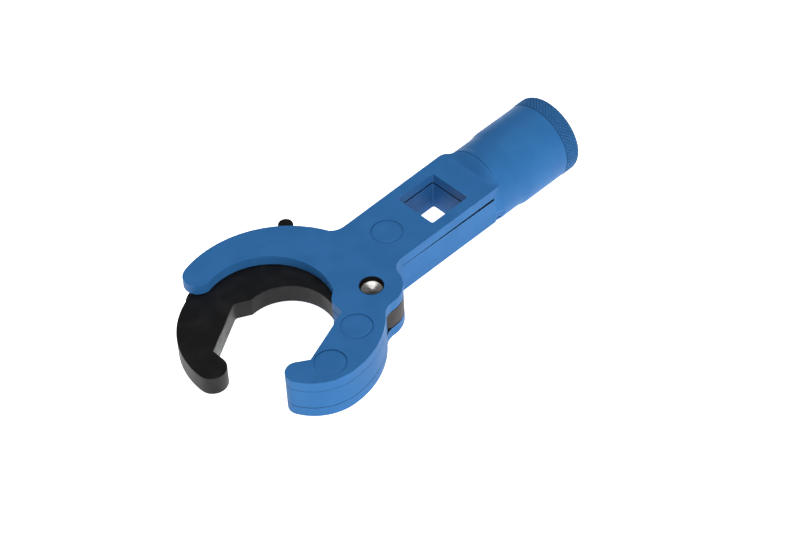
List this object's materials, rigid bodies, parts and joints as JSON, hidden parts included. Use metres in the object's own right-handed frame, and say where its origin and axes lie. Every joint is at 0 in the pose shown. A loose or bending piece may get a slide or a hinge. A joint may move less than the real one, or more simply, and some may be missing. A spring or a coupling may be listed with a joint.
{
  "type": "hinged-jaw hook wrench",
  "caption": "Hinged-jaw hexagon hook wrench: riveted plate handle with a square drive hole, swinging jaw on a pin, and a drive socket welded on the end.",
  "frame": {"origin": "centre of the bounding box seen from above, at its lowest level (the underside of the socket's knurled ring)", "axes": "+X along the handle from the jaws towards the socket, +Z square to the plates and up through the top plate, +Y from the fixed hook towards the guiding arm"},
  "size_m": [0.124, 0.0566, 0.0224],
  "materials": {
    "blue_paint": "satin blue enamel over laser-cut and turned steel",
    "black_coat": "matt black coating, rubbed to grey on the edges",
    "bright_steel": "bare turned steel"
  },
  "bodies": {
    "wrench_body": {"top_plate": "blue_paint", "bottom_plate": "blue_paint", "handle_spacer": "blue_paint", "hook_spacer": "blue_paint", "rivet_handle": "blue_paint", "rivet_jaw_root": "blue_paint", "rivet_jaw_toe": "blue_paint", "drive_socket": "blue_paint", "upper_weld": "blue_paint", "lower_weld": "blue_paint", "weld_root": "blue_paint", "pivot_pin": "bright_steel", "lower_shim": "bright_steel", "upper_shim": "bright_steel"},
    "jaw": {"swing_jaw": "black_coat"}
  },
  "joints": [
    {"name": "jaw_pivot", "type": "hinge", "parent": "wrench_body", "child": "jaw", "pos_m": [-0.014, -0.01102, 0.0122], "axis": [0, 0, -1], "range_deg": [0, 28]}
  ]
}
